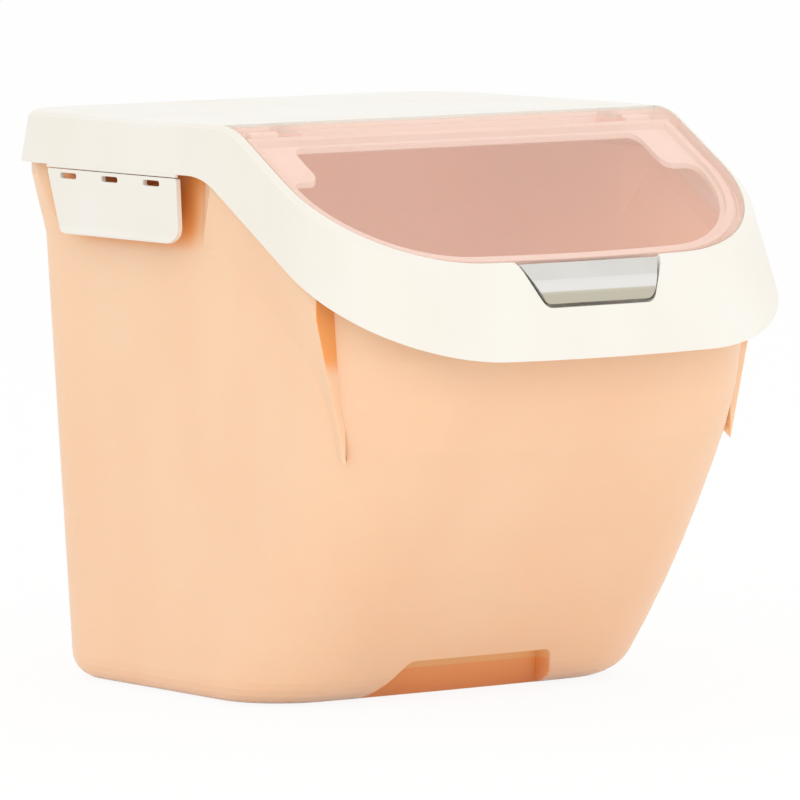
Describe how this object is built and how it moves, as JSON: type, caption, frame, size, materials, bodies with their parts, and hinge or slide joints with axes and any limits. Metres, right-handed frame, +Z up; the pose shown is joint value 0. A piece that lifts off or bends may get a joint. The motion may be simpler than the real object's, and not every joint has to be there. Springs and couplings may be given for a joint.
{
  "type": "rice storage container",
  "caption": "Drop-front food bin with a rounded tub, a folded lid, a clear hinged flap with a press latch, and a snap clip on each side.",
  "frame": {"origin": "centre of the footprint of the whole bin, on the surface that it stands on", "axes": "+Z up, -Y towards the front with the flap and the latch, +X to the right as seen from the front"},
  "size_m": [0.2708, 0.328, 0.276],
  "materials": {
    "tub": "satin moulded polypropylene",
    "lid": "satin moulded polypropylene",
    "flap": "clear polished plastic",
    "seal": "soft silicone",
    "latch": "satin grey plastic",
    "pins": "drawn steel"
  },
  "bodies": {
    "tub": {"tub": "tub"},
    "lid": {"lid": "lid", "lid_seal": "seal", "flap_seal": "seal", "hinge_pin_left": "pins", "hinge_pin_right": "pins", "latch_pin": "pins", "latch_spring": "pins"},
    "flap": {"flap": "flap"},
    "latch_button": {"latch_button": "latch"},
    "left_clip": {"left_clip": "lid"},
    "right_clip": {"right_clip": "lid"}
  },
  "joints": [
    {"name": "lid_lift", "type": "slide", "parent": "tub", "child": "lid", "axis": [0, 0, 1], "range_m": [0, 0.3]},
    {"name": "flap_hinge", "type": "hinge", "parent": "lid", "child": "flap", "pos_m": [0, -0.03486, 0.26926], "axis": [-1, 0, 0], "range_deg": [0, 105]},
    {"name": "latch_press", "type": "hinge", "parent": "lid", "child": "latch_button", "pos_m": [0, -0.14739, 0.20063], "axis": [1, 0, 0], "range_deg": [0, 12], "stiffness_Nm_per_rad": 0.05, "springref_deg": -11.46},
    {"name": "left_clip_hinge", "type": "hinge", "parent": "lid", "child": "left_clip", "pos_m": [-0.1346, 0.0535, 0.2512], "axis": [0, 1, 0], "range_deg": [0, 110]},
    {"name": "right_clip_hinge", "type": "hinge", "parent": "lid", "child": "right_clip", "pos_m": [0.1346, 0.0535, 0.2512], "axis": [0, -1, 0], "range_deg": [0, 110]}
  ]
}
